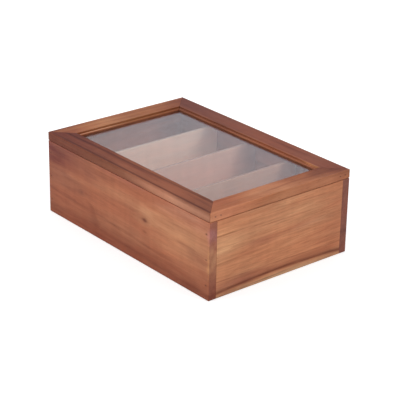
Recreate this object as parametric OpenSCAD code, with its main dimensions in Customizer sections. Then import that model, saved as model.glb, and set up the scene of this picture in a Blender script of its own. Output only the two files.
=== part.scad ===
// Tea bag organizer box: a wooden box with four compartments and a hinged, glazed lid.
// Millimetres, +Z up. The origin is the middle of the underside. The front is -Y, the right
// end is +X and the hinges are at the back, +Y. The lid is drawn shut.

/* [Walls] */
// Outside length of the box, left to right
box_l = 280; // [220:1:400]
// Outside width of the box, front to back
box_w = 190; // [140:1:260]
// Height of the four wall boards
wall_h = 85; // [60:1:120]
// Thickness of the wall boards
wall_t = 9.5; // [8:0.5:14]
// Radius that eases the outer edges of the boards and the lid
edge_ease = 0.7; // [0.3:0.1:1.5]

/* [Base] */
// Thickness of the base panel
base_t = 3; // [2:0.5:6]
// How far the base panel reaches into the boards
base_bite = 4.5; // [3:0.5:6]
// Length of a panel pin
base_pin_l = 12; // [10:1:20]

/* [Dividers] */
// Thickness of a divider
divider_t = 3; // [2:0.5:5]
// Depth of the groove that holds a divider's end
groove_d = 3; // [2:0.5:4]
// Clearance on each face of a divider in its groove
groove_play = 0.1; // [0.05:0.05:0.3]
// How far the dividers' tops lie below the rim of the walls
divider_drop = 1; // [0.5:0.5:10]

/* [Lid] */
// Thickness of the lid's rails
lid_t = 9.5; // [9:0.5:14]
// Width of the lid's rails
rail_w = 25.5; // [24:0.5:34]
// Gap between the walls and the shut lid
lid_gap = 0.6; // [0.5:0.1:1.6]
// Width of the ledge round the opening
ledge_w = 2.7; // [1.5:0.1:4]
// Depth of the step down to the ledge
step_d = 2.1; // [1:0.1:2.8]
// Radius of the ledge's inner edge
ledge_ease = 0.8; // [0.4:0.1:1]

/* [Glazing] */
// Thickness of the pane
glass_t = 2; // [1.5:0.5:3]
// Width of the rebate that the pane sits in
rebate_w = 8; // [6:0.5:10]
// Clearance round the edge of the pane
glass_play = 0.5; // [0.3:0.1:1]
// Thickness of the beads under the pane
bead_t = 3.8; // [3:0.1:4.6]
// How far the beads stay back from the edge of the opening
bead_back = 0.5; // [0:0.1:2]
// Length of a glazing pin
glazing_pin_l = 11; // [9:1:14]

/* [Hinges] */
// Distance from each end of the box to the middle of a hinge
hinge_inset = 50; // [35:1:80]
// Length of a hinge
hinge_l = 30; // [28:1:45]
// Length of the lid's knuckle, the middle one
knuckle_l = 10; // [8:0.5:14]
// Outer radius of the knuckles
barrel_r = 2.2; // [2:0.1:3]
// Radius of the hinge pin
hinge_pin_r = 0.9; // [0.7:0.1:1.1]
// Thickness of a leaf
leaf_t = 1; // [0.8:0.1:1.4]
// Width of a leaf on the wood
leaf_w = 7; // [6:0.5:8]
// Angle at which the lid meets its stop
open_angle = 100; // [90:1:110]
// Distance between the two screws in a leaf
screw_spacing = 20; // [16:1:22]
// Length of the screws in the back board
body_screw_l = 10; // [8:1:16]
// Length of the screws in the lid
lid_screw_l = 6; // [4:0.5:7]

/* [Brads] */
// Radius of a brad
brad_r = 0.6; // [0.4:0.1:0.9]
// Length of a corner brad in the walls
wall_brad_l = 24; // [18:1:30]
// Height of the lowest brad in a wall corner
wall_brad_low = 16; // [8:1:24]
// Depth of the highest brad in a wall corner below the rim
wall_brad_drop = 13; // [8:1:20]
// Length of a corner brad in the lid
lid_brad_l = 20; // [16:1:26]
// Distance from the lid's corner to its first brad
lid_brad_first = 7; // [5:0.5:9]
// Distance between the two brads at a corner of the lid
lid_brad_step = 7; // [4:0.5:8]

/* [Hidden] */
$fn = 48;

// Steps in the quarter circle of an eased edge
ease_steps = 4;
// Overshoot of a cut past the face that it opens
cut = 1;
// Clearance round a brad, pin or screw in its own hole
drive_fit = 0.02;

// Base panel, flush with the underside
base_l = box_l - 2 * (wall_t - base_bite);
base_w = box_w - 2 * (wall_t - base_bite);
base_pin_r = 0.5;
base_pin_head_r = 1;
base_pin_head_t = 0.4;
base_long_count = 4;
base_short_count = 3;

// Dividers, evenly spaced, standing on the base panel
divider_count = 3;
inner_l = box_l - 2 * wall_t;
inner_w = box_w - 2 * wall_t;
cell_l = (inner_l - divider_count * divider_t) / (divider_count + 1);
divider_h = wall_h - divider_drop - base_t;
divider_w = inner_w + 2 * (groove_d - groove_play);
divider_ease = 0.5;

// Brads: three in a column at each corner of the walls, two in a row at each corner of the lid
brad_sink = 0.3;
wall_brad_rows = 3;
wall_brad_step = (wall_h - wall_brad_drop - wall_brad_low) / (wall_brad_rows - 1);

// Lid, and the rebate under it that holds the pane on its beads. The lip over the pane keeps
// an upright flat below its rounded edge.
lid_z = wall_h + lid_gap;
rebate_u = rail_w - rebate_w;
rebate_h = bead_t + glass_t;
lip_flat = 0.4;
ledge_r = min(ledge_ease, lid_t - step_d - rebate_h - lip_flat);
glass_l = box_l - 2 * (rebate_u + glass_play);
glass_w = box_w - 2 * (rebate_u + glass_play);
bead_w = rebate_w - bead_back;
glazing_pin_r = 0.4;
glazing_long_count = 4;
glazing_short_count = 3;

// Hinges: the axis lies at the middle of the gap, just behind the back face
barrel_clear = 0.2;
axis_out = barrel_r + barrel_clear;
axis_y = box_w / 2 + axis_out;
axis_z = wall_h + lid_gap / 2;
hinge_x = box_l / 2 - hinge_inset;
leaf_gap = 0.2;
knuckle_clear = 0.25;
running_fit = 0.05;
pin_head_r = 1.4;
pin_head_t = 0.6;
outer_knuckle_l = (hinge_l - knuckle_l) / 2 - knuckle_clear;

// Stop: a lug on the lid's knuckle meets a bar between the outer knuckles
lug_t = 1.6;
lug_h = 1.9;
stop_play = 0.08;
stop_bar_t = 1.6;
bar_inset = 0.4;
stop_reach = barrel_r + lug_h;

// Countersunk screws
screw_r = 0.9;
screw_head_r = 1.7;
screw_tip = 1.6;
slot_w = 0.5;
slot_d = 0.35;
screw_u = leaf_w / 2;

// Points on an arc about [x, y], from angle a to angle b
function arc(x, y, r, a, b) = [for (i = [0 : ease_steps])
    let (t = a + (b - a) * i / ease_steps) [x + r * cos(t), y + r * sin(t)]];

// A number of places spread evenly over a length, with half a step at each end
function spread(length, count) = [for (i = [0 : count - 1]) length * ((i + 0.5) / count - 0.5)];

// Middle of divider n, counted from the left end
function divider_x(n) = -inner_l / 2 + n * (cell_l + divider_t) - divider_t / 2;

// Heights of the brads in a wall corner
function wall_brad_z(i) = wall_brad_low + i * wall_brad_step;

// A rectangle from the origin with all four corners eased
module eased_square(w, h, r) {
    polygon(concat(arc(r, r, r, 180, 270), arc(w - r, r, r, 270, 360),
        arc(w - r, h - r, r, 0, 90), arc(r, h - r, r, 90, 180)));
}

// The outside of the walls as one block, eased on every edge: it trims each board
module wall_envelope() {
    intersection() {
        translate([-box_l / 2, -box_w / 2, 0])
            linear_extrude(wall_h) eased_square(box_l, box_w, edge_ease);
        translate([-box_l / 2, box_w / 2, 0]) rotate([90, 0, 0])
            linear_extrude(box_w) eased_square(box_l, wall_h, edge_ease);
        translate([-box_l / 2, -box_w / 2, 0]) rotate([90, 0, 90])
            linear_extrude(box_l) eased_square(box_w, wall_h, edge_ease);
    }
}

// A straight brad along +Z, its head at z = 0 and its point at z = -length
module brad(radius, length) {
    point = 2 * radius;
    translate([0, 0, -length + point]) cylinder(r = radius, h = length - point);
    translate([0, 0, -length]) cylinder(r1 = radius / 4, r2 = radius, h = point);
}

// The hole that a brad leaves, open past its head
module brad_hole(radius, length) {
    translate([0, 0, -length - drive_fit])
        cylinder(r = radius + drive_fit, h = length + drive_fit + brad_sink + cut);
}

// Puts its child at each corner brad of the walls, pointing in from the long faces
module at_wall_brads() {
    for (sx = [-1, 1], sy = [-1, 1], i = [0 : wall_brad_rows - 1])
        translate([sx * (box_l - wall_t) / 2, sy * (box_w / 2 - brad_sink), wall_brad_z(i)])
            rotate([-90 * sy, 0, 0]) children();
}

// Puts its child at each panel pin, pointing up from the underside
module at_base_pins() {
    for (s = [-1, 1]) {
        for (x = spread(base_l, base_long_count))
            translate([x, s * (base_w - base_bite) / 2, 0]) rotate([180, 0, 0]) children();
        for (y = spread(inner_w, base_short_count))
            translate([s * (base_l - base_bite) / 2, y, 0]) rotate([180, 0, 0]) children();
    }
}

module base_pin() {
    brad(base_pin_r, base_pin_l);
    translate([0, 0, -base_pin_head_t]) cylinder(r = base_pin_head_r, h = base_pin_head_t);
}

module base_pin_hole() {
    translate([0, 0, -base_pin_l - drive_fit])
        cylinder(r = base_pin_r + drive_fit, h = base_pin_l + drive_fit + cut);
    translate([0, 0, -base_pin_head_t - drive_fit])
        cylinder(r = base_pin_head_r + drive_fit, h = base_pin_head_t + drive_fit + cut);
}

// What every board loses: the rebate for the base panel and the holes for brads and pins
module wall_cuts() {
    translate([-base_l / 2, -base_w / 2, -cut]) cube([base_l, base_w, base_t + cut]);
    at_wall_brads() brad_hole(brad_r, wall_brad_l);
    at_base_pins() base_pin_hole();
}

// A long board with its divider grooves, at the front (side -1) or the back (side 1)
module long_board(side) {
    difference() {
        intersection() {
            wall_envelope();
            translate([-box_l / 2, side * (box_w - wall_t) / 2 - wall_t / 2, 0])
                cube([box_l, wall_t, wall_h]);
        }
        wall_cuts();
        for (n = [1 : divider_count])
            translate([divider_x(n) - divider_t / 2 - groove_play, -divider_w / 2 - groove_play, 0])
                cube([divider_t + 2 * groove_play, divider_w + 2 * groove_play, wall_h + cut]);
    }
}

module front_board() {
    color("#a5644b") long_board(-1);
}

// The back board also has the shallow mortises and pilot holes for the hinges
module back_board() {
    color("#8a5545") difference() {
        long_board(1);
        at_hinges() {
            leaf_mortise(-1);
            at_body_screws() screw_pilot(body_screw_l);
        }
    }
}

// An end board, between the long boards, at the left (side -1) or the right (side 1)
module end_board(side) {
    difference() {
        intersection() {
            wall_envelope();
            translate([side * (box_l - wall_t) / 2 - wall_t / 2, -inner_w / 2, 0])
                cube([wall_t, inner_w, wall_h]);
        }
        wall_cuts();
    }
}

module left_end_board() {
    color("#8f5a49") end_board(-1);
}

module right_end_board() {
    color("#bb7d5a") end_board(1);
}

module base_panel() {
    color("#c9ab88") difference() {
        translate([-base_l / 2, -base_w / 2, 0]) cube([base_l, base_w, base_t]);
        at_base_pins() base_pin_hole();
    }
}

module base_panel_pins() {
    color("#9a9a98") at_base_pins() base_pin();
}

// Divider n, standing on the base panel with its ends in the grooves and its top edge eased
module divider(n) {
    color("#cfb79f") translate([divider_x(n) - divider_t / 2, divider_w / 2, base_t])
        rotate([90, 0, 0]) linear_extrude(divider_w)
            polygon(concat([[0, 0], [divider_t, 0]],
                arc(divider_t - divider_ease, divider_h - divider_ease, divider_ease, 0, 90),
                arc(divider_ease, divider_h - divider_ease, divider_ease, 90, 180)));
}

module body_corner_brads() {
    color("#6b5a50") at_wall_brads() brad(brad_r, wall_brad_l);
}

// One side of a mitred frame, its section given as a child with x measured inwards from the
// outer edge: 0 is the front, 1 the right, 2 the back and 3 the left
module frame_side(side, out_l, out_w, width) {
    along = side % 2 == 0 ? out_l : out_w;
    across = side % 2 == 0 ? out_w : out_l;
    rotate([0, 0, 90 * side]) translate([0, -across / 2, 0]) intersection() {
        rotate([90, 0, 90]) translate([0, 0, -along / 2]) linear_extrude(along) children();
        linear_extrude(lid_t) polygon([[-along / 2, 0], [along / 2, 0],
            [along / 2 - width, width], [-along / 2 + width, width]]);
    }
}

// Section of a rail: eased outside, stepped down to a round-edged ledge at the opening, and
// rebated below for the pane
module rail_section() {
    ledge_z = lid_t - step_d;
    polygon(concat(arc(edge_ease, edge_ease, edge_ease, 180, 270),
        [[rebate_u, 0], [rebate_u, rebate_h], [rail_w, rebate_h]],
        arc(rail_w - ledge_r, ledge_z - ledge_r, ledge_r, 0, 90),
        [[rail_w - ledge_w, ledge_z], [rail_w - ledge_w, lid_t]],
        arc(edge_ease, lid_t - edge_ease, edge_ease, 90, 180)));
}

// One rail of the lid, with the lid's upright corners eased across the mitres
module lid_rail(side) {
    translate([0, 0, lid_z]) intersection() {
        frame_side(side, box_l, box_w, rail_w) rail_section();
        translate([-box_l / 2, -box_w / 2, 0])
            linear_extrude(lid_t) eased_square(box_l, box_w, edge_ease);
    }
}

// Puts its child at each corner brad of the lid, pointing in from the end faces
module at_lid_brads() {
    for (sx = [-1, 1], sy = [-1, 1], i = [0, 1])
        translate([sx * (box_l / 2 - brad_sink),
            sy * (box_w / 2 - lid_brad_first - i * lid_brad_step), lid_z + lid_t / 2])
            rotate([0, 90 * sx, 0]) children();
}

// Puts its child at each glazing pin, pointing out through a bead into the rail
module at_glazing_pins() {
    pin_z = lid_z + bead_t / 2;
    for (s = [-1, 1]) {
        for (x = spread(box_l - 2 * rail_w, glazing_long_count))
            translate([x, s * (box_w / 2 - rail_w + bead_back), pin_z])
                rotate([90 * s, 0, 0]) children();
        for (y = spread(box_w - 2 * rail_w, glazing_short_count))
            translate([s * (box_l / 2 - rail_w + bead_back), y, pin_z])
                rotate([0, -90 * s, 0]) children();
    }
}

// What every rail loses: the holes for its corner brads and glazing pins
module rail_cuts() {
    at_lid_brads() brad_hole(brad_r, lid_brad_l);
    at_glazing_pins() brad_hole(glazing_pin_r, glazing_pin_l);
}

module lid_front_rail() {
    color("#834f46") difference() {
        lid_rail(0);
        rail_cuts();
    }
}

module lid_right_rail() {
    color("#a5694c") difference() {
        lid_rail(1);
        rail_cuts();
    }
}

module lid_back_rail() {
    color("#885149") difference() {
        lid_rail(2);
        rail_cuts();
        at_hinges() {
            leaf_mortise(1);
            at_lid_screws() screw_pilot(lid_screw_l);
        }
    }
}

module lid_left_rail() {
    color("#a66e4e") difference() {
        lid_rail(3);
        rail_cuts();
    }
}

module glass_pane() {
    color("lightblue", 0.35) translate([-glass_l / 2, -glass_w / 2, lid_z + bead_t])
        cube([glass_l, glass_w, glass_t]);
}

// One bead under the pane, mitred like the rails
module glazing_bead(side) {
    color("#7a4a40") difference() {
        translate([0, 0, lid_z])
            frame_side(side, box_l - 2 * rebate_u, box_w - 2 * rebate_u, bead_w)
                square([bead_w, bead_t]);
        at_glazing_pins() brad_hole(glazing_pin_r, glazing_pin_l);
    }
}

module glazing_pins() {
    color("#9a9a98") at_glazing_pins() brad(glazing_pin_r, glazing_pin_l);
}

module lid_corner_brads() {
    color("#6b5a50") at_lid_brads() brad(brad_r, lid_brad_l);
}

// Puts its children at the axis of one hinge: side -1 is the left, 1 the right
module at_hinge(side) {
    translate([side * hinge_x, axis_y, axis_z]) children();
}

module at_hinges() {
    for (side = [-1, 1]) at_hinge(side) children();
}

// A cylinder about the hinge axis, from one x to another
module along_axis(r, from, to) {
    translate([from, 0, 0]) rotate([0, 90, 0]) cylinder(r = r, h = to - from);
}

// Places of the two screws in a leaf, heads up for the body's and down for the lid's
module at_body_screws() {
    for (s = [-1, 1])
        translate([s * screw_spacing / 2, -axis_out - screw_u, -leaf_gap / 2]) children();
}

module at_lid_screws() {
    for (s = [-1, 1])
        translate([s * screw_spacing / 2, -axis_out - screw_u, leaf_gap / 2])
            rotate([180, 0, 0]) children();
}

// The flat of a leaf below the axis (side -1) or above it (side 1)
module leaf_plate(side, from, to, width) {
    z = side < 0 ? -leaf_gap / 2 - leaf_t : leaf_gap / 2;
    translate([from, -axis_out - leaf_w, z]) cube([to - from, width, leaf_t]);
}

// The shallow pocket that seats a leaf in the wood
module leaf_mortise(side) {
    z = side < 0 ? -leaf_gap / 2 - leaf_t : leaf_gap / 2;
    translate([-hinge_l / 2 - drive_fit, -axis_out - leaf_w - drive_fit, z])
        cube([hinge_l + 2 * drive_fit, leaf_w + cut + drive_fit, leaf_t]);
}

// A countersunk screw along +Z, its head at z = 0
module screw(length) {
    head_h = screw_head_r - screw_r;
    difference() {
        union() {
            translate([0, 0, -head_h]) cylinder(r1 = screw_r, r2 = screw_head_r, h = head_h);
            translate([0, 0, -length + screw_tip])
                cylinder(r = screw_r, h = length - screw_tip - head_h);
            translate([0, 0, -length]) cylinder(r1 = screw_r / 6, r2 = screw_r, h = screw_tip);
        }
        for (turn = [0, 90])
            rotate([0, 0, turn]) translate([-screw_r, -slot_w / 2, -slot_d])
                cube([2 * screw_r, slot_w, slot_d + cut]);
    }
}

// The countersunk hole for a screw in a leaf
module screw_seat() {
    head_h = screw_head_r - screw_r;
    translate([0, 0, -leaf_t - cut]) cylinder(r = screw_r + drive_fit, h = leaf_t + 2 * cut);
    translate([0, 0, -head_h])
        cylinder(r1 = screw_r + drive_fit, r2 = screw_head_r + drive_fit, h = head_h);
}

// The hole for a screw in the wood under a leaf
module screw_pilot(length) {
    translate([0, 0, -length - drive_fit])
        cylinder(r = screw_r + drive_fit, h = length + drive_fit - leaf_t + cut);
}

// The body's leaf: two outer knuckles joined by the stop bar behind them
module hinge_body_leaf() {
    half = hinge_l / 2;
    mid = knuckle_l / 2 + knuckle_clear;
    stop_z = -lug_t / 2 - stop_play - stop_bar_t;
    color("#b89a55") difference() {
        union() {
            leaf_plate(-1, -half, half, leaf_w + axis_out - barrel_r - knuckle_clear);
            for (side = [-1, 1]) {
                from = side < 0 ? -half : mid;
                leaf_plate(-1, from, from + outer_knuckle_l, leaf_w + axis_out);
                along_axis(barrel_r, from, from + outer_knuckle_l);
                rotate([90 - open_angle, 0, 0])
                    translate([from + bar_inset, barrel_r / 2, stop_z])
                        cube([outer_knuckle_l - 2 * bar_inset, stop_reach - barrel_r / 2, stop_bar_t]);
            }
            rotate([90 - open_angle, 0, 0])
                translate([-half + bar_inset, barrel_r + knuckle_clear, stop_z])
                    cube([hinge_l - 2 * bar_inset, lug_h - knuckle_clear, stop_bar_t]);
        }
        along_axis(hinge_pin_r + drive_fit, -half - cut, half + cut);
        at_body_screws() screw_seat();
    }
}

// The lid's leaf: one middle knuckle with the stop lug standing up from it
module hinge_lid_leaf() {
    half = hinge_l / 2;
    mid = knuckle_l / 2;
    color("#b89a55") difference() {
        union() {
            leaf_plate(1, -half, half, leaf_w + axis_out - barrel_r - knuckle_clear);
            leaf_plate(1, -mid, mid, leaf_w + axis_out);
            along_axis(barrel_r, -mid, mid);
            translate([-mid, -lug_t / 2, 0]) cube([knuckle_l, lug_t, stop_reach]);
        }
        along_axis(hinge_pin_r + running_fit, -mid - cut, mid + cut);
        at_lid_screws() screw_seat();
    }
}

// The hinge pin, with a low head outside each outer knuckle
module hinge_pin() {
    half = hinge_l / 2;
    color("#a58848") {
        along_axis(hinge_pin_r, -half, half);
        along_axis(pin_head_r, -half - pin_head_t, -half);
        along_axis(pin_head_r, half, half + pin_head_t);
    }
}

module hinge_body_screws() {
    color("#a58848") at_hinges() at_body_screws() screw(body_screw_l);
}

module hinge_lid_screws() {
    color("#a58848") at_hinges() at_lid_screws() screw(lid_screw_l);
}

front_board();
back_board();
left_end_board();
right_end_board();
base_panel();
base_panel_pins();
divider(1);  // divider_1
divider(2);  // divider_2
divider(3);  // divider_3
body_corner_brads();
at_hinge(-1) hinge_body_leaf();  // hinge_left_body_leaf
at_hinge(-1) hinge_pin();  // hinge_left_pin
at_hinge(1) hinge_body_leaf();  // hinge_right_body_leaf
at_hinge(1) hinge_pin();  // hinge_right_pin
hinge_body_screws();
lid_front_rail();
lid_right_rail();
lid_back_rail();
lid_left_rail();
glass_pane();
glazing_bead(0);  // glazing_bead_front
glazing_bead(1);  // glazing_bead_right
glazing_bead(2);  // glazing_bead_back
glazing_bead(3);  // glazing_bead_left
glazing_pins();
lid_corner_brads();
at_hinge(-1) hinge_lid_leaf();  // hinge_left_lid_leaf
at_hinge(1) hinge_lid_leaf();  // hinge_right_lid_leaf
hinge_lid_screws();
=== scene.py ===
# A wooden tea bag box with a hinged, glazed lid. Metres, +Z up, front at -Y, hinges at +Y.
# The file follows the box as it is put together, from the wall boards to the lid.

import math

import bpy
from mathutils import Matrix, Vector


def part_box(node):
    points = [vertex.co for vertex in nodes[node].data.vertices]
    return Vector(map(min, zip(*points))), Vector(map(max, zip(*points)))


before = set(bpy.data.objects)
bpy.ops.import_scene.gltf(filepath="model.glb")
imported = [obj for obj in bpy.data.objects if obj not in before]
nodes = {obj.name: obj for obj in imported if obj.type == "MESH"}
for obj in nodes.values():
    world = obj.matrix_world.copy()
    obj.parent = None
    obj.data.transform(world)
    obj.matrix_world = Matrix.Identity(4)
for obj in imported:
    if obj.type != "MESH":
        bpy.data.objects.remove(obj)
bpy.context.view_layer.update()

# Wall boards: planed acacia, 9.5 mm thick, with eased arrises and an oiled finish of low
# sheen. The long boards lap the short ones, so their end grain shows on the short faces.
# Each board has its own figure, which runs right through the wood.

MM = 1000
WALL_LOW, WALL_HIGH = (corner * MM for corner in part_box("front_board"))
HALF_L = WALL_HIGH.x
HALF_W = -WALL_LOW.y
WALL_H = WALL_HIGH.z
WALL_T = WALL_HIGH.y - WALL_LOW.y


def srgb(red, green, blue):
    """A display colour, from 0 to 255, as the linear colour that a socket takes."""
    def linear(value):
        value /= 255
        return value / 12.92 if value <= 0.04045 else ((value + 0.055) / 1.055) ** 2.4
    return (linear(red), linear(green), linear(blue), 1)


def fill(tree, sockets, values):
    """Fills sockets, by name or number, with values or with links."""
    for name, value in values.items():
        if isinstance(value, bpy.types.NodeSocket):
            tree.links.new(value, sockets[name])
        else:
            sockets[name].default_value = value


def place(tree, kind, inputs=(), **settings):
    """Adds a shader node, sets it up and fills its inputs."""
    made = tree.nodes.new("ShaderNode" + kind)
    for name, value in settings.items():
        setattr(made, name, value)
    fill(tree, made.inputs, dict(inputs))
    return made


def math_step(tree, operation, first, second=0.0, third=0.0):
    """One step of arithmetic."""
    inputs = {0: first, 1: second, 2: third}
    return place(tree, "Math", inputs, operation=operation).outputs[0]


def times(tree, first, second):
    return math_step(tree, "MULTIPLY", first, second)


def plus(tree, first, second):
    return math_step(tree, "ADD", first, second)


def minus(tree, first, second):
    return math_step(tree, "SUBTRACT", first, second)


def vector_step(tree, operation, first, second=(0, 0, 0)):
    """One step of vector arithmetic."""
    return place(tree, "VectorMath", {0: first, 1: second}, operation=operation).outputs[0]


def length_of(tree, vector):
    return place(tree, "VectorMath", {0: vector}, operation="LENGTH").outputs["Value"]


def scaled(tree, vector, factor):
    return place(tree, "VectorMath", {0: vector, "Scale": factor}, operation="SCALE").outputs[0]


def axes_of(tree, vector):
    return place(tree, "SeparateXYZ", {0: vector}).outputs


def ease(tree, value, low, high, to_low=0.0, to_high=1.0):
    """A smooth step of a value between two levels."""
    inputs = {"Value": value, "From Min": low, "From Max": high, "To Min": to_low, "To Max": to_high}
    return place(tree, "MapRange", inputs, interpolation_type="SMOOTHSTEP").outputs["Result"]


def blend(tree, amount, base, other, mode="MIX"):
    """One colour laid over another by an amount."""
    made = place(tree, "Mix", data_type="RGBA", blend_type=mode)
    fill(tree, made.inputs, {0: amount, 6: base, 7: other})
    return made.outputs[2]


def grain_noise(tree, vector, stretch, detail=2.0, rough=0.5, warp=0.0):
    """Noise with so many features in a mm on each axis, about 0.5 in the middle."""
    drawn = vector_step(tree, "MULTIPLY", vector, stretch)
    inputs = {"Vector": drawn, "Scale": 1.0, "Detail": detail, "Roughness": rough, "Distortion": warp}
    return place(tree, "TexNoise", inputs)


def new_group(name, inputs, outputs):
    """An empty group of shader nodes, each socket's kind taken from its value's length."""
    tree = bpy.data.node_groups.new(name, "ShaderNodeTree")
    kinds = {0: "NodeSocketFloat", 3: "NodeSocketVector", 4: "NodeSocketColor"}
    for label, value in inputs.items():
        kind = kinds[len(value) if isinstance(value, tuple) else 0]
        tree.interface.new_socket(label, in_out="INPUT", socket_type=kind).default_value = value
    for label, size in outputs.items():
        tree.interface.new_socket(label, in_out="OUTPUT", socket_type=kinds[size])
    return tree, tree.nodes.new("NodeGroupInput").outputs, tree.nodes.new("NodeGroupOutput").inputs


def acacia_figure():
    """Growth bands round a leaning pith, streaks, fibres and pores. The grain is along the
    first axis, and sizes are in mm."""
    tree, given, put = new_group(
        "acacia_figure",
        {"Vector": (0, 0, 0), "Pith": (0, -60, -40), "Lean": (0, 0, 0), "Seed": (0, 0, 0),
            "Band": 7.0, "Wander": 14.0, "Contrast": 1.0, "Pores": 0.4, "Lines": 0.04,
            "Light": (0.5, 0.3, 0.2, 1), "Middle": (0.3, 0.2, 0.1, 1), "Dark": (0.2, 0.1, 0.05, 1)},
        {"Color": 4, "Relief": 0, "Dullness": 0})
    seeded = vector_step(tree, "ADD", given["Vector"], given["Seed"])

    # Distance from the pith, counted in growth bands; the pith leans and wanders
    swing = grain_noise(tree, seeded, (0.006, 0.018, 0.018)).outputs["Color"]
    swing = vector_step(tree, "SUBTRACT", swing, (0.5, 0.5, 0.5))
    drift = scaled(tree, swing, given["Wander"])
    lean = scaled(tree, given["Lean"], axes_of(tree, given["Vector"])["X"])
    moved = vector_step(tree, "ADD", given["Vector"], vector_step(tree, "SUBTRACT", drift, lean))
    off = axes_of(tree, vector_step(tree, "SUBTRACT", moved, given["Pith"]))
    radius = length_of(tree, place(tree, "CombineXYZ", {1: off["Y"], 2: off["Z"]}).outputs[0])
    ring = math_step(tree, "DIVIDE", radius, given["Band"])

    # Level of the tone: growth bands, drawn-out streaks, broad clouds and the late wood
    along = axes_of(tree, seeded)["X"]
    path = place(tree, "CombineXYZ", {0: times(tree, along, 0.006), 1: ring}).outputs[0]
    bands = grain_noise(tree, path, (1, 1, 1), 4.0, 0.6, 0.2).outputs["Fac"]
    late = ease(tree, math_step(tree, "FRACT", times(tree, ring, 0.9)), 0.35, 1.0)
    drawn = grain_noise(tree, seeded, (0.012, 0.16, 0.16), 3.0, 0.55).outputs["Fac"]
    cloud = grain_noise(tree, seeded, (0.016, 0.04, 0.04)).outputs["Fac"]
    level = plus(tree, times(tree, bands, 0.6), times(tree, drawn, 0.4))
    level = plus(tree, level, times(tree, cloud, 0.45))
    level = minus(tree, level, times(tree, late, 0.07))
    level = times(tree, minus(tree, level, 0.7), times(tree, given["Contrast"], 3.2))
    level = plus(tree, level, 0.5)

    # The three tones by that level, a little redder in some parts than in others
    colour = blend(tree, ease(tree, level, 0.0, 0.5), given["Dark"], given["Middle"])
    colour = blend(tree, ease(tree, level, 0.5, 1.0), colour, given["Light"])
    hue = grain_noise(tree, seeded, (0.009, 0.05, 0.05)).outputs["Fac"]
    tint = blend(tree, ease(tree, hue, 0.35, 0.65), (1.03, 0.97, 0.95, 1), (0.98, 1.01, 1.02, 1))
    colour = blend(tree, 1.0, colour, tint, "MULTIPLY")

    # Silk: fibres along the grain, a faint ripple across it and fine dark and light lines
    fibre = grain_noise(tree, seeded, (0.035, 1.1, 1.1), 3.0, 0.6).outputs["Fac"]
    ripple = grain_noise(tree, seeded, (0.11, 0.02, 0.05), 1.0).outputs["Fac"]
    lines = grain_noise(tree, seeded, (0.022, 0.42, 0.42), 4.0, 0.65).outputs["Fac"]
    silk = ease(tree, fibre, 0.25, 0.75, 0.93, 1.07)
    silk = plus(tree, silk, ease(tree, ripple, 0.3, 0.7, -0.03, 0.03))
    darkest = times(tree, given["Lines"], -1.0)
    silk = plus(tree, silk, ease(tree, lines, 0.3, 0.7, darkest, given["Lines"]))
    silk = place(tree, "CombineColor", {0: silk, 1: silk, 2: silk}).outputs[0]
    colour = blend(tree, 1.0, colour, silk, "MULTIPLY")

    # Pores: short, dark and sunk a little into the surface
    cells = grain_noise(tree, seeded, (0.12, 2.4, 2.4), 1.0).outputs["Fac"]
    pores = ease(tree, cells, 0.64, 0.74)
    deep = blend(tree, 1.0, colour, (0.45, 0.36, 0.32, 1), "MULTIPLY")
    colour = blend(tree, times(tree, pores, given["Pores"]), colour, deep)
    dull = plus(tree, times(tree, pores, 0.2), times(tree, fibre, 0.14))
    relief = minus(tree, times(tree, fibre, 0.4), pores)
    fill(tree, put, {"Color": colour, "Relief": relief, "Dullness": dull})
    return tree


def knot_in_wood():
    """A branch that runs through the board: the grain parts round its dark core."""
    tree, given, put = new_group(
        "knot_in_wood",
        {"Vector": (0, 0, 0), "Centre": (0, 0, 0), "Size": (4, 2, 60), "Reach": 5.0},
        {"Vector": 3, "Core": 0, "Halo": 0})
    offset = vector_step(tree, "SUBTRACT", given["Vector"], given["Centre"])
    away = length_of(tree, vector_step(tree, "DIVIDE", offset, given["Size"]))
    near = ease(tree, away, 0.6, given["Reach"], 1.0, 0.0)
    aside = times(tree, axes_of(tree, offset)["Y"], times(tree, near, -0.8))
    shift = place(tree, "CombineXYZ", {1: aside}).outputs[0]
    ragged = grain_noise(tree, given["Vector"], (0.15, 0.3, 0.2), 3.0).outputs["Fac"]
    torn = plus(tree, away, times(tree, minus(tree, ragged, 0.5), 0.9))
    fill(tree, put, {"Vector": vector_step(tree, "ADD", given["Vector"], shift),
        "Core": ease(tree, torn, 0.2, 1.3, 1.0, 0.0), "Halo": ease(tree, torn, 0.6, 3.0, 1.0, 0.0)})
    return tree


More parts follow.
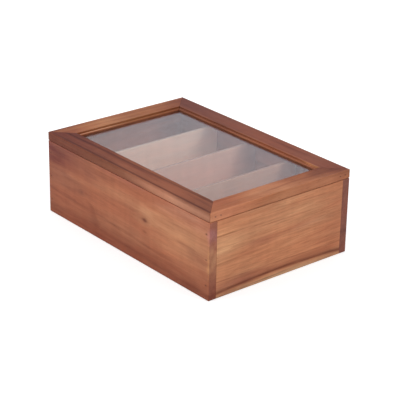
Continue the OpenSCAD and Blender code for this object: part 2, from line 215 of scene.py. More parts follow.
def dark_streak():
    """A line that follows the grain: it wanders, breaks up and fades at its ends. Below is
    the wood on the lower side of the line, as where sapwood meets heartwood."""
    tree, given, put = new_group(
        "dark_streak",
        {"Vector": (0, 0, 0), "Height": 0.0, "Slope": 0.0, "Bow": 0.0, "Wander": 3.0,
            "Thickness": 1.5, "Start": -100.0, "End": 100.0, "Fade": 20.0, "Breaks": 0.6, "Seed": 0.0},
        {"Mask": 0, "Below": 0})
    split = axes_of(tree, given["Vector"])
    along = split["X"]
    path = place(tree, "CombineXYZ", {0: times(tree, along, 0.017), 1: given["Seed"]}).outputs[0]
    swing = minus(tree, grain_noise(tree, path, (1, 1, 1), 3.0).outputs["Fac"], 0.5)
    lean = minus(tree, given["Slope"], times(tree, along, given["Bow"]))
    line = math_step(tree, "MULTIPLY_ADD", along, lean, given["Height"])
    line = math_step(tree, "MULTIPLY_ADD", swing, times(tree, given["Wander"], 2.0), line)
    above = math_step(tree, "DIVIDE", minus(tree, split["Y"], line), given["Thickness"])
    body = ease(tree, math_step(tree, "ABSOLUTE", above), 0.0, 1.6, 1.0, 0.0)
    broken = grain_noise(tree, given["Vector"], (0.045, 0.5, 0.5)).outputs["Fac"]
    holes = times(tree, ease(tree, broken, 0.3, 0.62, 1.0, 0.0), given["Breaks"])
    body = times(tree, body, minus(tree, 1.0, holes))
    start = ease(tree, along, given["Start"], plus(tree, given["Start"], given["Fade"]))
    stop = ease(tree, along, minus(tree, given["End"], given["Fade"]), given["End"], 1.0, 0.0)
    ends = times(tree, start, stop)
    under = ease(tree, above, -1.4, -0.2, 1.0, 0.0)
    fill(tree, put, {"Mask": times(tree, body, ends), "Below": times(tree, under, ends)})
    return tree


def soft_patch():
    """A soft oval of another tone, its edge drawn out along the grain."""
    tree, given, put = new_group(
        "soft_patch",
        {"Vector": (0, 0, 0), "Centre": (0, 0, 0), "Size": (10, 10, 60), "Ragged": 0.3},
        {"Mask": 0})
    offset = vector_step(tree, "SUBTRACT", given["Vector"], given["Centre"])
    away = length_of(tree, vector_step(tree, "DIVIDE", offset, given["Size"]))
    torn = grain_noise(tree, given["Vector"], (0.02, 0.12, 0.12), 3.0).outputs["Fac"]
    torn = times(tree, minus(tree, torn, 0.5), times(tree, given["Ragged"], 3.0))
    fill(tree, put, {"Mask": ease(tree, plus(tree, away, torn), 0.0, 1.0, 1.0, 0.0)})
    return tree


def worn_highlit_arris():
    """Where two faces of a block meet: the middle one of the three distances to its faces."""
    tree, given, put = new_group(
        "worn_highlit_arris",
        {"Vector": (0, 0, 0), "Middle": (0, 0, 0), "Half": (10, 10, 10), "Width": 2.0},
        {"Mask": 0})
    offset = vector_step(tree, "SUBTRACT", given["Vector"], given["Middle"])
    offset = vector_step(tree, "ABSOLUTE", offset)
    x, y, z = axes_of(tree, vector_step(tree, "SUBTRACT", given["Half"], offset))
    low = math_step(tree, "MINIMUM", x, y)
    high = math_step(tree, "MAXIMUM", x, y)
    second = math_step(tree, "MAXIMUM", low, math_step(tree, "MINIMUM", high, z))
    rub = grain_noise(tree, given["Vector"], (0.1, 0.1, 0.1), 3.0).outputs["Fac"]
    mask = ease(tree, math_step(tree, "DIVIDE", second, given["Width"]), 0.0, 1.0, 1.0, 0.0)
    fill(tree, put, {"Mask": times(tree, mask, ease(tree, rub, 0.35, 0.62, 0.3, 1.0))})
    return tree


def joint_line():
    """The hairline of dark glue at a joint, the same in all four corners of the box. The
    joint's plane has a direction across it and a distance from the middle, and the line
    shows only beyond a distance along the box."""
    tree, given, put = new_group(
        "joint_line",
        {"Vector": (0, 0, 0), "Across": (0, 1, 0), "Distance": 80.0, "Beyond": 0.0, "Width": 0.3},
        {"Mask": 0})
    folded = vector_step(tree, "ABSOLUTE", given["Vector"])
    made = place(tree, "VectorMath", {0: folded, 1: given["Across"]}, operation="DOT_PRODUCT")
    gap = math_step(tree, "ABSOLUTE", minus(tree, made.outputs["Value"], given["Distance"]))
    mask = ease(tree, math_step(tree, "DIVIDE", gap, given["Width"]), 0.4, 1.0, 1.0, 0.0)
    reached = math_step(tree, "GREATER_THAN", axes_of(tree, folded)["X"], given["Beyond"])
    fill(tree, put, {"Mask": times(tree, mask, reached)})
    return tree


FIGURE = acacia_figure()
KNOT = knot_in_wood()
STREAK = dark_streak()
PATCH = soft_patch()
ARRIS = worn_highlit_arris()
JOINT = joint_line()


def use_group(tree, group, inputs):
    """Places a group with its own values and returns its outputs."""
    return place(tree, "Group", inputs, node_tree=group).outputs


# Half the depth that a mark or a knot reaches, which is more than any board's thickness
THROUGH = 60


def patch(centre, size, tone, strength, ragged=0.3):
    """A patch of tone: its centre and half size along, across and, if need be, through."""
    values = {"Centre": centre, "Size": (*size, THROUGH)[:3], "Ragged": ragged}
    return PATCH, "Mask", tone, strength, values


def streak(height, ends, thickness, tone, strength, slope=0.0, bow=0.0, wander=3.0, fade=20.0,
        breaks=0.6, side="Mask"):
    """A streak at a height on the face, between its two ends along the grain. Streaks at
    other heights wander in another way, as the height gives the seed too."""
    values = {
        "Height": height, "Slope": slope, "Bow": bow, "Wander": wander, "Thickness": thickness,
        "Start": ends[0], "End": ends[1], "Fade": fade, "Breaks": breaks, "Seed": height * 0.37}
    return STREAK, side, tone, strength, values


# What the wood's tone is multiplied by: end grain drinks oil, an arris is paler with wear and
# with a painted highlight, and glue darkens the line of a joint
END_GRAIN = (0.72, 0.7, 0.82)
WEAR_AND_HIGHLIGHT = (1.3, 1.32, 1.36)
GLUE = (0.42, 0.34, 0.3)

# How strongly glue shows in a joint, and a knot's tone in the wood round it
GLUE_STRENGTH = 0.75
HALO_STRENGTH = 0.3


def wood(name, order, figure, tones, face=0, knots=(), marks=(), block=None, joint=None,
        upward_painted_shade=None, rough=0.42, wear_and_highlight=0.5):
    """One piece of wood. order names the object's axes along the grain, across the face and
    through it; tones are light, middle and dark; face is the depth of the seen face. Knots
    and marks are laid over the figure. block is the shape whose arrises are made paler by so
    much, as wear and as a painted highlight, and joint is the plane that shows a line of glue."""
    material = bpy.data.materials.new(name)
    material.use_nodes = True
    tree = material.node_tree
    shader = tree.nodes["Principled BSDF"]
    surface = place(tree, "TexCoord").outputs
    space = scaled(tree, surface["Object"], MM)
    split = axes_of(tree, space)
    grain = place(tree, "CombineXYZ", {i: split[axis] for i, axis in enumerate(order)}).outputs[0]
    cores = []
    for centre, size, tone, strength in knots:
        made = use_group(tree, KNOT, {
            "Vector": grain, "Centre": (*centre, face), "Size": (*size, THROUGH)})
        grain = made["Vector"]
        cores.append((made, tone, strength))
    light, middle, dark = (srgb(*tone) for tone in tones)
    made = use_group(tree, FIGURE, {
        "Vector": grain, "Light": light, "Middle": middle, "Dark": dark, **figure})
    colour, relief, dullness = made["Color"], made["Relief"], made["Dullness"]

    def shaded(mask, strength, shade):
        toned = blend(tree, 1.0, colour, (*shade, 1), "MULTIPLY")
        return blend(tree, times(tree, mask, strength), colour, toned)

    def against_middle(tone):
        return (want / have for want, have in zip(srgb(*tone)[:3], middle))

    for group, side, tone, strength, values in marks:
        if "Centre" in values:
            values = {**values, "Centre": (*values["Centre"], face)[:3]}
        mask = use_group(tree, group, {"Vector": grain, **values})[side]
        colour = shaded(mask, strength, against_middle(tone))
    for made, tone, strength in cores:
        colour = shaded(made["Halo"], HALO_STRENGTH * strength, against_middle(tone))
        colour = blend(tree, times(tree, made["Core"], strength), colour, srgb(*tone))
    facing = vector_step(tree, "ABSOLUTE", surface["Normal"])
    colour = shaded(ease(tree, axes_of(tree, facing)[order[0]], 0.55, 0.9), 1.0, END_GRAIN)
    # Faces that look up are darkened by painted shade
    if upward_painted_shade:
        colour = shaded(ease(tree, axes_of(tree, facing)["Z"], 0.55, 0.9), 1.0, upward_painted_shade)
    # Arrises made paler: partly wear, partly a painted highlight
    if block:
        mask = use_group(tree, ARRIS, {"Vector": space, **block})["Mask"]
        colour = shaded(mask, wear_and_highlight, WEAR_AND_HIGHLIGHT)
    if joint:
        mask = use_group(tree, JOINT, {"Vector": space, **joint})["Mask"]
        colour = shaded(mask, GLUE_STRENGTH, GLUE)
    bump = place(tree, "Bump", {"Strength": 0.3, "Distance": 0.0002, "Height": relief})
    fill(tree, shader.inputs, {"Base Color": colour, "Roughness": plus(tree, dullness, rough),
        "Normal": bump.outputs["Normal"], "Specular IOR Level": 0.1})
    return material


def dress(material, *names):
    """Gives a material to every slot of some CAD nodes."""
    for name in names:
        for material_slot in nodes[name].material_slots:
            material_slot.material = material


# The box as one block, as the long boards and the short ones show it. A glue line shows only
# where the end of a short board meets a long one, from just past the inner corner outwards.
WALL_MIDDLE = (0, 0, WALL_H / 2)
LONG_BLOCK = {"Middle": WALL_MIDDLE, "Half": (HALF_L, HALF_W, WALL_H / 2), "Width": 1.6}
SHORT_BLOCK = {"Middle": WALL_MIDDLE, "Half": (HALF_L, HALF_W - WALL_T, WALL_H / 2), "Width": 1.5}
JUST_PAST = 0.05
WALL_JOINT = {
    "Across": (0, 1, 0), "Distance": HALF_W - WALL_T, "Beyond": HALF_L - WALL_T + JUST_PAST,
    "Width": 0.25}

# Height of each corner brad above the underside, from the lowest and the highest of them
BRAD_R = 0.6
BRADS_LOW, BRADS_HIGH = (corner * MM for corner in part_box("body_corner_brads"))
BRAD_HEIGHTS = (BRADS_LOW.z + BRAD_R, (BRADS_LOW.z + BRADS_HIGH.z) / 2, BRADS_HIGH.z - BRAD_R)
BRAD_X = HALF_L - WALL_T / 2


def brad_stains(tone, strength):
    """Dark marks round the heads of the brads, at both ends of a long board."""
    heads = [(end * BRAD_X, height) for end in (-1, 1) for height in BRAD_HEIGHTS]
    return [patch(head, (2.6, 1.5), tone, strength, ragged=0.4) for head in heads]


# Front board: red-brown, darker at its left end and along its foot, with a knot right of the
# middle and a smaller one on the left
front_wood = wood(
    "front_board_wood", "XZY",
    {"Pith": (0, 18, -40), "Lean": (0, 0.05, 0.12), "Seed": (13, 5, 40), "Band": 9.0, "Wander": 30.0,
        "Contrast": 0.5},
    [(190, 123, 90), (176, 109, 79), (152, 89, 65)], face=-HALF_W,
    knots=[((35.5, 51), (4.5, 2.4), (116, 62, 46), 0.8), ((35.4, 38), (3.5, 1.8), (146, 86, 62), 0.55),
        ((-77, 44), (2.4, 1.8), (136, 80, 62), 0.55)],
    marks=[
        patch((-150, 95), (160, 64), (120, 59, 55), 0.9),
        patch((-155, 40), (110, 60), (152, 88, 66), 0.75),
        patch((96, 54), (92, 38), (206, 142, 103), 0.9),
        patch((108, 80), (84, 15), (188, 122, 98), 0.55),
        patch((-12, 64), (62, 13), (194, 128, 93), 0.75),
        patch((38, 62), (18, 12), (196, 132, 98), 0.5),
        patch((0, 86), (80, 9), (176, 110, 90), 0.7),
        patch((0, -3), (520, 35), (140, 74, 52), 0.95),
        patch((HALF_L, 40), (5, 26), (196, 129, 88), 0.9),
        patch((HALF_L, 70), (5, 14), (178, 109, 92), 0.9),
        streak(25, (-160, 90), 1.8, (140, 80, 58), 0.6, slope=-0.045, wander=3, breaks=0.7),
        streak(5.5, (-140, -10), 1.2, (140, 76, 54), 0.6, wander=0.8, breaks=0.8),
        streak(41, (-122, -84), 1.8, (150, 88, 66), 0.6, wander=3, fade=10),
        streak(61, (-82, -44), 1.8, (156, 92, 68), 0.55, slope=-0.15, wander=2, fade=12),
        streak(55, (-50, 30), 1.6, (160, 96, 70), 0.4, slope=0.02, wander=3),
        streak(10, (-60, 160), 2.2, (140, 78, 56), 0.45, slope=-0.03, wander=3)]
        + brad_stains((124, 74, 58), 0.5),
    block=LONG_BLOCK, joint=WALL_JOINT)
dress(front_wood, "front_board")

# Back board: browner and plainer, with two long dark streaks
back_wood = wood(
    "back_board_wood", "XZY",
    {"Pith": (0, 70, 40), "Lean": (0, -0.06, 0.1), "Seed": (70, 21, 3), "Band": 8.0, "Wander": 26.0,
        "Contrast": 0.6, "Lines": 0.08},
    [(172, 112, 86), (155, 97, 76), (128, 77, 63)], face=HALF_W,
    marks=[
        patch((60, 50), (90, 26), (176, 114, 86), 0.6),
        streak(60, (-150, 60), 2.4, (112, 66, 54), 0.6, slope=0.02, wander=6),
        streak(22, (-70, 160), 3.0, (112, 66, 54), 0.6, slope=0.03, wander=8)]
        + brad_stains((92, 58, 48), 0.75),
    block=LONG_BLOCK, joint=WALL_JOINT)
dress(back_wood, "back_board")

# Left end board: even red-brown, with two wandering streaks
left_end_wood = wood(
    "left_end_board_wood", "YZX",
    {"Pith": (0, 10, -90), "Lean": (0, 0.05, -0.1), "Seed": (3, 57, 17), "Band": 8.0, "Wander": 24.0,
        "Contrast": 0.6, "Lines": 0.09},
    [(176, 112, 86), (158, 96, 75), (128, 76, 62)], face=-HALF_L,
    marks=[
        patch((-30, 30), (60, 26), (182, 118, 90), 0.6),
        streak(52, (-110, 100), 2.6, (116, 68, 56), 0.6, slope=-0.05, wander=7),
        streak(20, (-60, 110), 1.8, (122, 72, 58), 0.5, slope=0.03, wander=4)],
    block=SHORT_BLOCK, joint=WALL_JOINT)
dress(left_end_wood, "left_end_board")

# Right end board: golden, with pale sapwood at its foot under a bowed dark line
HEARTWOOD_EDGE = {"bow": 0.00048, "wander": 0.7, "fade": 4}
right_end_wood = wood(
    "right_end_board_wood", "YZX",
    {"Pith": (0, -30, 60), "Lean": (0, 0.04, 0.12), "Seed": (31, 8, 77), "Band": 8.0, "Wander": 22.0,
        "Contrast": 0.6, "Lines": 0.11},
    [(208, 147, 107), (194, 131, 94), (174, 111, 80)], face=HALF_L,
    marks=[
        patch((-84, 62), (52, 28), (214, 152, 110), 0.9),
        patch((85, 45), (50, 62), (180, 112, 80), 0.7),
        patch((0, 66), (110, 9), (208, 142, 102), 0.6),
        patch((-25, 47), (32, 8), (172, 107, 80), 0.75),
        patch((34, 49), (46, 7), (168, 106, 78), 0.75),
        patch((-58, 12), (70, 9), (148, 88, 70), 0.85),
        patch((45, 11), (80, 8), (162, 100, 72), 0.7),
        patch((0, 85), (150, 4), (170, 108, 78), 0.6),
        streak(9, (-110, 110), 6.0, (190, 147, 111), 0.85, side="Below", **HEARTWOOD_EDGE),
        streak(9, (-110, 110), 2.1, (124, 68, 48), 0.9, breaks=0.2, **HEARTWOOD_EDGE),
        streak(3.5, (-110, 20), 0.8, (150, 98, 70), 0.8, slope=0.03, wander=1, breaks=0.7),
        streak(17, (-110, 110), 0.8, (146, 90, 66), 0.6, slope=-0.012, wander=1.5, breaks=0.7),
        streak(68, (-96, -56), 1.0, (134, 84, 56), 0.75, wander=1.2, fade=12, breaks=0.2),
        streak(54, (-96, -56), 1.2, (150, 96, 64), 0.5, wander=1.2, fade=12),
        streak(39.5, (-96, -50), 1.2, (152, 96, 66), 0.6, slope=0.03, wander=1.5, fade=12),
        streak(64, (-32, 50), 1.1, (166, 104, 76), 0.6, slope=-0.02, wander=2),
        streak(30, (20, 110), 1.2, (168, 106, 76), 0.5, slope=-0.05, wander=2),
        streak(78, (-60, 100), 1.2, (170, 108, 78), 0.5, slope=-0.02, wander=2)],
    block=SHORT_BLOCK, joint=WALL_JOINT, wear_and_highlight=0.25)
dress(right_end_wood, "right_end_board")

# Base panel: 3 mm plywood let into a rebate, flush with the boards' lower edges, and held
# by steel panel pins driven up into the boards.

plywood = wood(
    "base_plywood", "XYZ",
    {"Pith": (0, 20, -300), "Seed": (9, 31, 5), "Band": 9.0, "Wander": 40.0, "Contrast": 0.6},
    [(222, 190, 154), (210, 174, 136), (184, 144, 108)], rough=0.55)
dress(plywood, "base_panel")


def dull_metal():
    """Metal that has aged unevenly, with fine scratches."""
    tree, given, put = new_group(
        "dull_metal",
        {"Vector": (0, 0, 0), "Bright": (0.6, 0.6, 0.6, 1), "Dull": (0.3, 0.3, 0.3, 1),
            "Spread": 0.5, "Smooth": 0.25, "Rough": 0.5},
        {"Color": 4, "Roughness": 0, "Relief": 0})
    cloud = grain_noise(tree, given["Vector"], (0.35, 0.35, 0.35), 4.0, 0.6).outputs["Fac"]
    speck = grain_noise(tree, given["Vector"], (2.2, 2.2, 2.2), 2.0).outputs["Fac"]
    aged = ease(tree, plus(tree, cloud, times(tree, minus(tree, speck, 0.5), 0.3)), 0.35, 0.65)
    scratch = grain_noise(tree, given["Vector"], (0.12, 6.0, 6.0), 2.0).outputs["Fac"]
    worn = plus(tree, times(tree, aged, 0.7), times(tree, scratch, 0.3))
    fill(tree, put, {
        "Color": blend(tree, times(tree, aged, given["Spread"]), given["Bright"], given["Dull"]),
        "Roughness": ease(tree, worn, 0.1, 0.9, given["Smooth"], given["Rough"]),
        "Relief": plus(tree, scratch, times(tree, speck, 0.3))})
    return tree


METAL = dull_metal()


def metal(name, bright, dull, **values):
    """Aged metal over the whole piece, with the group's other inputs as they are given."""
    material = bpy.data.materials.new(name)
    material.use_nodes = True
    tree = material.node_tree
    shader = tree.nodes["Principled BSDF"]
    space = scaled(tree, place(tree, "TexCoord").outputs["Object"], MM)
    made = use_group(tree, METAL, {
        "Vector": space, "Bright": srgb(*bright), "Dull": srgb(*dull), **values})
    bump = place(tree, "Bump", {"Strength": 0.06, "Distance": 0.0001, "Height": made["Relief"]})
    fill(tree, shader.inputs, {"Base Color": made["Color"], "Roughness": made["Roughness"],
        "Metallic": 1.0, "Normal": bump.outputs["Normal"]})
    return material


pin_steel = metal("pin_steel", (176, 174, 170), (120, 112, 104), Spread=0.6, Smooth=0.3, Rough=0.5)
dress(pin_steel, "base_panel_pins")

# Dividers: three thin boards of pale wood, sanded but not oiled, their top edges eased.
# They stand on the base panel with their ends in grooves in the long boards. Their tops and
# their back ends are darkened by painted shade, and the three differ in tone by painted
# light and shade.

# One pale wood; each divider's tone is lighter or darker as painted light and shade
DIVIDER_PAINTED_TONES = {1: (248, 217, 197), 2: (232, 184, 164), 3: (228, 174, 148)}
TONE_SHARES = (1.03, 0.93)
PAINTED_TOP_SHADE = (0.44, 0.41, 0.42)
painted_back_end_shade = patch((92, 60), (46, 70), (150, 124, 122), 0.8, ragged=0.1)
for number, tone in DIVIDER_PAINTED_TONES.items():
    light, dark = ([channel * share for channel in tone] for share in TONE_SHARES)
    divider_wood = wood(
        f"divider_{number}_wood", "YZX",
        {"Pith": (0, 140, 60), "Seed": (40 * number, 9, 70), "Band": 7.0, "Wander": 20.0,
            "Contrast": 0.4, "Pores": 0.12, "Lines": 0.015},
        [light, tone, dark], marks=[painted_back_end_shade], upward_painted_shade=PAINTED_TOP_SHADE, rough=0.5)
    dress(divider_wood, f"divider_{number}")

# Corner brads: headless steel brads, punched just under the surface, three at each corner
# of the walls, through the long boards into the ends of the short ones.

brad_steel = metal("brad_steel", (120, 104, 92), (70, 54, 44), Spread=0.8, Smooth=0.4, Rough=0.65)
dress(brad_steel, "body_corner_brads")

# Hinges: two pairs of brass leaves let flush into the back board and the lid's back rail,
# each with a pin and four screws of a darker brass. A bar on the lower leaf stops the lug on
# the lid's knuckle a little past upright.

BRASS_WEAR = {"Spread": 0.6, "Smooth": 0.3, "Rough": 0.45}
hinge_brass = metal("hinge_brass", (206, 174, 112), (166, 132, 80), **BRASS_WEAR)
screw_brass = metal("screw_brass", (198, 164, 104), (154, 120, 72), **BRASS_WEAR)
for side in ("left", "right"):
    dress(hinge_brass, f"hinge_{side}_body_leaf", f"hinge_{side}_lid_leaf")
    dress(screw_brass, f"hinge_{side}_pin")
dress(screw_brass, "hinge_body_screws", "hinge_lid_screws")

# Lid rails: four mitred rails of the same wood, with a narrow step down to a round-edged
# ledge at the opening. Painted shade darkens the step and the ledge's lip on all but the
# back rail, whose ledge is painted lighter than the rail.

RAIL_LOW, RAIL_HIGH = (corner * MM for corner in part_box("lid_front_rail"))
RAIL_W = RAIL_HIGH.y - RAIL_LOW.y
RAIL_MIDDLE = (RAIL_LOW.z + RAIL_HIGH.z) / 2
RAIL_T = RAIL_HIGH.z - RAIL_LOW.z
LEDGE_W = 2.7
LID_BLOCK = {"Middle": (0, 0, RAIL_MIDDLE), "Half": (HALF_L, HALF_W, RAIL_T / 2), "Width": 1.5}
DIAGONAL = math.sqrt(0.5)
MITRE = {
    "Across": (DIAGONAL, -DIAGONAL, 0), "Distance": (HALF_L - HALF_W) * DIAGONAL, "Width": 0.3}

# Distances of the two lid brads at a corner from the lid's long edges
LID_BRADS = (7, 14)

# Ends of a streak that runs past both ends of a rail
ALL_ALONG = (-HALF_L - 20, HALF_L + 20)


def painted_step_shade(side, half, step_tone, lip_tone):
    """Painted shade in the step and on the lip of a rail, on one side of the lid."""
    step = side * (half - RAIL_W + LEDGE_W)
    lip = side * (half - RAIL_W)
    return [
        streak(step, ALL_ALONG, 0.5, step_tone, 0.7, wander=0.05, breaks=0.2),
        streak(lip, ALL_ALONG, 0.35, lip_tone, 0.7, wander=0.02, breaks=0.1)]


def lid_brad_stains(side, tone):
    """Marks round the heads of the brads in the outer face of an end rail."""
    heads = [(end * (HALF_W - depth), side * HALF_L, RAIL_MIDDLE)
        for end in (-1, 1) for depth in LID_BRADS]
    return [patch(head, (1.7, 4, 1.1), tone, 0.6) for head in heads]


# Front rail: dark at its left end, with two dark lines along it and a paler front side
front_rail_wood = wood(
    "lid_front_rail_wood", "XYZ",
    {"Pith": (0, -60, 40), "Lean": (0, 0.03, 0.02), "Seed": (5, 90, 12), "Band": 6.0, "Wander": 16.0,
        "Contrast": 0.6},
    [(156, 96, 69), (134, 78, 55), (106, 57, 41)], face=RAIL_HIGH.z,
    marks=[
        patch((-150, -84), (150, 40), (102, 49, 38), 0.9),
        patch((60, -84), (105, 26), (148, 89, 63), 0.9, ragged=0.2),
        patch((92, -95.5, 90), (128, 3.5, 9), (191, 130, 102), 1.0, ragged=0.1),
        streak(-92.4, (-160, 190), 1.7, (86, 42, 26), 0.9, wander=0.4, fade=70, breaks=0.1),
        streak(-77.6, (-160, 150), 1.7, (86, 44, 30), 0.8, slope=0.022, wander=0.6, fade=40,
            breaks=0.25)]
        + painted_step_shade(-1, HALF_W, (78, 38, 28), (84, 42, 34)),
    block=LID_BLOCK, joint=MITRE, wear_and_highlight=0.1)
dress(front_rail_wood, "lid_front_rail")

# Right rail: golden, and dark at its back corner
right_rail_wood = wood(
    "lid_right_rail_wood", "YXZ",
    {"Pith": (0, 170, 60), "Lean": (0, 0.02, 0.04), "Seed": (66, 4, 31), "Band": 6.0, "Wander": 16.0,
        "Contrast": 0.6},
    [(184, 120, 83), (170, 106, 72), (140, 79, 54)], face=RAIL_HIGH.z,
    marks=[
        patch((88, 122), (95, 31), (108, 56, 41), 1.0),
        patch((-8, 124), (50, 26), (192, 129, 93), 0.85),
        patch((-68, 122), (34, 24), (162, 95, 66), 0.8),
        patch((-80, HALF_L, RAIL_MIDDLE), (85, 4, 16), (196, 130, 96), 0.95, ragged=0.15),
        patch((60, HALF_L, RAIL_MIDDLE), (80, 4, 16), (186, 120, 86), 0.9, ragged=0.15)]
        + painted_step_shade(1, HALF_L, (136, 80, 54), (110, 60, 44)) + lid_brad_stains(1, (130, 80, 58)),
    block=LID_BLOCK, joint=MITRE, wear_and_highlight=0.1)
dress(right_rail_wood, "lid_right_rail")

# Back rail: dull brown, its ledge lightened by painted light, with a short painted highlight
# just short of the step
BACK_LEDGE = HALF_W - RAIL_W + LEDGE_W / 2
STEP_FOOT = BACK_LEDGE + LEDGE_W / 2 - 0.05
back_rail_wood = wood(
    "lid_back_rail_wood", "XYZ",
    {"Pith": (0, 120, 30), "Lean": (0, 0.02, 0.03), "Seed": (44, 63, 2), "Band": 6.0, "Wander": 16.0,
        "Contrast": 0.55},
    [(152, 93, 70), (136, 80, 60), (112, 62, 48)], face=RAIL_HIGH.z,
    marks=[
        patch((-135, 86), (150, 30), (106, 60, 51), 0.8, ragged=0.2),
        patch((130, 92), (40, 30), (120, 66, 50), 0.6),
        streak(BACK_LEDGE, ALL_ALONG, 3.0, (164, 101, 72), 0.75, wander=0.05, fade=1, breaks=0.1),
        streak(BACK_LEDGE, (-60, 160), 3.0, (150, 92, 70), 0.6, wander=0.05, fade=70, breaks=0.1),
        streak(STEP_FOOT, (84, 130), 0.25, (196, 134, 98), 0.7, wander=0.05, fade=20, breaks=0.1)],
    block=LID_BLOCK, joint=MITRE, wear_and_highlight=0.35)
dress(back_rail_wood, "lid_back_rail")

# Left rail: golden, dark towards the back, with a painted highlight on its ledge
HIGHLIGHT_FROM_LIP = 1.5
LEFT_LEDGE_HIGHLIGHT = -HALF_L + RAIL_W - HIGHLIGHT_FROM_LIP
left_rail_wood = wood(
    "lid_left_rail_wood", "YXZ",
    {"Pith": (0, -170, 60), "Lean": (0, 0.02, 0.04), "Seed": (12, 77, 51), "Band": 6.0, "Wander": 16.0,
        "Contrast": 0.55},
    [(178, 117, 77), (161, 101, 67), (138, 79, 55)], face=RAIL_HIGH.z,
    marks=[
        patch((-26, -126), (44, 26), (174, 117, 82), 0.9),
        patch((-90, -126), (40, 28), (144, 84, 60), 0.9),
        patch((100, -124), (66, 34), (112, 60, 46), 0.95),
        streak(LEFT_LEDGE_HIGHLIGHT, (-130, 0), 0.7, (232, 176, 144), 0.9, wander=0.1, fade=50, breaks=0.1)]
        + painted_step_shade(-1, HALF_L, (142, 85, 54), (158, 90, 64)) + lid_brad_stains(-1, (96, 54, 42)),
    block=LID_BLOCK, joint=MITRE, wear_and_highlight=0.35)
dress(left_rail_wood, "lid_left_rail")

# Pane: clear float glass, 2 mm thick, laid in the rebate from below, a little smeared where
# it was wiped. Light passes straight through it into the compartments, less a small share.

CLEARNESS = (0.92, 0.93, 0.93, 1)
glass = bpy.data.materials.new("clear_float_glass")
glass.use_nodes = True
tree = glass.node_tree
shader = tree.nodes["Principled BSDF"]
space = scaled(tree, place(tree, "TexCoord").outputs["Object"], MM)
wiped = grain_noise(tree, space, (0.012, 0.02, 0.02), 4.0, 0.6, 0.6).outputs["Fac"]
fill(tree, shader.inputs, {
    "Base Color": blend(tree, ease(tree, wiped, 0.3, 0.7), srgb(248, 252, 250), srgb(252, 253, 252)),
    "Roughness": ease(tree, wiped, 0.45, 0.75, 0.0, 0.012),
    "Transmission Weight": 1.0, "IOR": 1.5})
rays = place(tree, "LightPath").outputs
through = math_step(tree, "MAXIMUM", rays["Is Shadow Ray"], rays["Is Diffuse Ray"])
clear = place(tree, "BsdfTransparent", {"Color": CLEARNESS})
mixed = place(tree, "MixShader", {0: through, 1: shader.outputs[0], 2: clear.outputs[0]})
tree.links.new(mixed.outputs[0], tree.nodes["Material Output"].inputs["Surface"])
dress(glass, "glass_pane")

# Glazing beads: thin mitred strips of the same wood under the pane, which they hold up in
# its rebate, with fine steel pins driven through them into the rails.

BEAD_TONES = [(148, 94, 74), (126, 78, 62), (98, 58, 48)]
for side, order in {"front": "XYZ", "back": "XYZ", "left": "YXZ", "right": "YXZ"}.items():
    bead_wood = wood(
        f"bead_{side}_wood", order,
        {"Pith": (0, 30, -40), "Seed": (len(side) * 17, 3, 8), "Band": 5.0, "Contrast": 0.7},
        BEAD_TONES, joint=MITRE)
    dress(bead_wood, f"glazing_bead_{side}")
dress(pin_steel, "glazing_pins")

# Lid brads: two headless steel brads through each mitre, driven in from the end faces and
# punched just under the surface, as those in the walls are.

dress(brad_steel, "lid_corner_brads")

# Studio: a white floor and surround, a broad key light from the front left, a second light
# from behind on the right, and the photograph's viewpoint. The pane and the metal mirror a
# room that is cool behind the box and warmer higher up and in front.

WHITE = (1, 1, 1, 1)
DAYLIGHT = (0.93, 0.965, 1, 1)
DAYLIGHT_STRENGTH = 0.62
COOL_ROOM = (0.71, 0.67, 0.8, 1)
WARM_ROOM = (0.75, 0.61, 0.67, 1)

# How steeply a mirrored ray climbs on its way to the back, as its run over its rise: the
# room is warm up to the first of these and cool from the second on
ROOM_TURNS = (1.4, 1.75)
world = bpy.data.worlds.new("studio")
bpy.context.scene.world = world
world.use_nodes = True
tree = world.node_tree
rays = place(tree, "LightPath").outputs
backdrop = math_step(tree, "MAXIMUM", rays["Is Camera Ray"], rays["Is Transmission Ray"])
heading = axes_of(tree, place(tree, "TexCoord").outputs["Object"])
run_over_rise = math_step(tree, "DIVIDE", heading["Y"], heading["Z"])
mirrored = blend(tree, ease(tree, run_over_rise, *ROOM_TURNS), WARM_ROOM, COOL_ROOM)
surround = blend(tree, rays["Is Glossy Ray"], DAYLIGHT, mirrored)
looked_at = math_step(tree, "MAXIMUM", backdrop, rays["Is Glossy Ray"])
fill(tree, tree.nodes["Background"].inputs, {
    "Color": blend(tree, backdrop, surround, WHITE),
    "Strength": ease(tree, looked_at, 0, 1, DAYLIGHT_STRENGTH, 1.0)})

# The floor lies a hair under the box, so that the two don't share a plane
FLOOR_REACH = 4.0
FLOOR_DROP = 0.0003
FLOOR_CORNERS = ((-1, -1), (1, -1), (1, 1), (-1, 1))
FLOOR_GLOW = 0.5
PAPER_WHITE = (0.82, 0.82, 0.82, 1)
floor_mesh = bpy.data.meshes.new("floor")
floor_mesh.from_pydata(
    [(x * FLOOR_REACH, y * FLOOR_REACH, -FLOOR_DROP) for x, y in FLOOR_CORNERS], [], [(0, 1, 2, 3)])
floor = bpy.data.objects.new("floor", floor_mesh)
bpy.context.collection.objects.link(floor)
paper = bpy.data.materials.new("white_paper")
paper.use_nodes = True
tree = paper.node_tree
shader = tree.nodes["Principled BSDF"]
fill(tree, shader.inputs, {
    "Base Color": PAPER_WHITE, "Roughness": 0.9, "Specular IOR Level": 0.1})
rays = place(tree, "LightPath").outputs
seen = math_step(tree, "MAXIMUM", rays["Is Camera Ray"], rays["Is Glossy Ray"])
seen = math_step(tree, "MAXIMUM", seen, rays["Is Transmission Ray"])
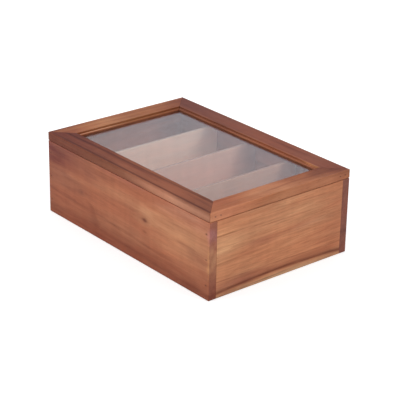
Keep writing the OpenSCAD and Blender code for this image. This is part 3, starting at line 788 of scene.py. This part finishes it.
glow = place(tree, "Emission", {"Color": WHITE, "Strength": times(tree, seen, FLOOR_GLOW)})
glowing = place(tree, "AddShader", {0: shader.outputs[0], 1: glow.outputs[0]})
tree.links.new(glowing.outputs[0], tree.nodes["Material Output"].inputs["Surface"])
floor_mesh.materials.append(paper)

# Where the two softboxes are turned to; their sizes are in metres and their power in watts
LAMPS_AIM = Vector((0, 0, 0.05))


def soft_light(name, place_at, size, power, colour=(1, 1, 1)):
    """A square softbox that faces the middle of the box."""
    lamp = bpy.data.lights.new(name, "AREA")
    lamp.size = size
    lamp.energy = power
    lamp.color = colour
    made = bpy.data.objects.new(name, lamp)
    bpy.context.collection.objects.link(made)
    made.location = place_at
    made.rotation_euler = (LAMPS_AIM - Vector(place_at)).to_track_quat("-Z", "Y").to_euler()


soft_light("key_light", (-0.9, -1.5, 1.7), size=1.2, power=18, colour=(1, 0.985, 0.96))
soft_light("fill_light", (1.6, 0.9, 1.6), size=1.0, power=16)

# Viewpoint, found by fitting the box's corners and edges: the angles round the box, then
# the distance from its middle and how far the view is moved aside and up
SENSOR_W = 36
FOCAL_LENGTH = 132.23
AZIMUTH = math.radians(50.31)
ELEVATION = math.radians(23.58)
ROLL = math.radians(0.98)
DISTANCE = 1.6146
AIM_RIGHT = 0.0063
AIM_UP = 0.0335
back = Vector((
    math.sin(AZIMUTH) * math.cos(ELEVATION),
    -math.cos(AZIMUTH) * math.cos(ELEVATION),
    math.sin(ELEVATION)))
right = (-back).cross(Vector((0, 0, 1))).normalized()
up = right.cross(-back)
lens = bpy.data.cameras.new("camera")
lens.sensor_width = SENSOR_W
lens.lens = FOCAL_LENGTH
camera = bpy.data.objects.new("camera", lens)
bpy.context.collection.objects.link(camera)
turn = Matrix((right, up, back)).transposed() @ Matrix.Rotation(ROLL, 3, "Z")
stand = back * DISTANCE + right * AIM_RIGHT + up * AIM_UP
camera.matrix_world = Matrix.Translation(stand) @ turn.to_4x4()
bpy.context.scene.camera = camera
bpy.context.scene.view_settings.view_transform = "Standard"
